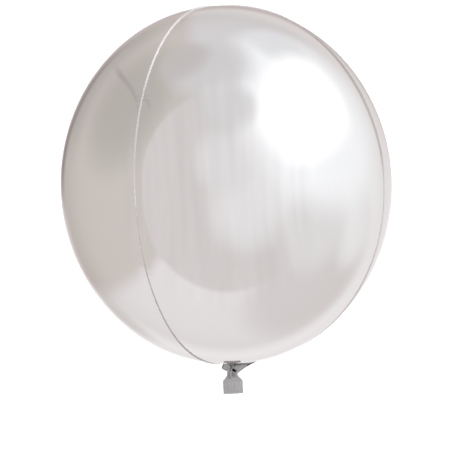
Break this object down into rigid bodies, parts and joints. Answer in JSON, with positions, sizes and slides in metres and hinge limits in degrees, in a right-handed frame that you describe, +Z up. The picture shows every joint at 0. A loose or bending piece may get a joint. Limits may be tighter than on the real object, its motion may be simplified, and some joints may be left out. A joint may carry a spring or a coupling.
{
  "type": "sphere foil balloon",
  "caption": "Inflated mirror-silver foil balloon, nearly round, of gores welded along raised meridian seams, lying on its side with a short gathered filling tail.",
  "frame": {"origin": "middle of the small flat spot that the balloon rests on, under the middle of its body", "axes": "+Z is up as the balloon lies; +Y runs along its long axis from the filling tail to the crown; +X is to the right, seen from above with the crown away from the viewer"},
  "size_m": [0.3798, 0.459, 0.3783],
  "materials": {
    "foil": "mirror-bright aluminised plastic film, pulled tight, with a faint satin haze",
    "tail_foil": "the same film, crumpled, creased and duller"
  },
  "bodies": {
    "root": {"panel_upper": "foil", "panel_right": "foil", "panel_lower": "foil", "panel_left": "foil", "filling_tail": "tail_foil"}
  },
  "joints": []
}
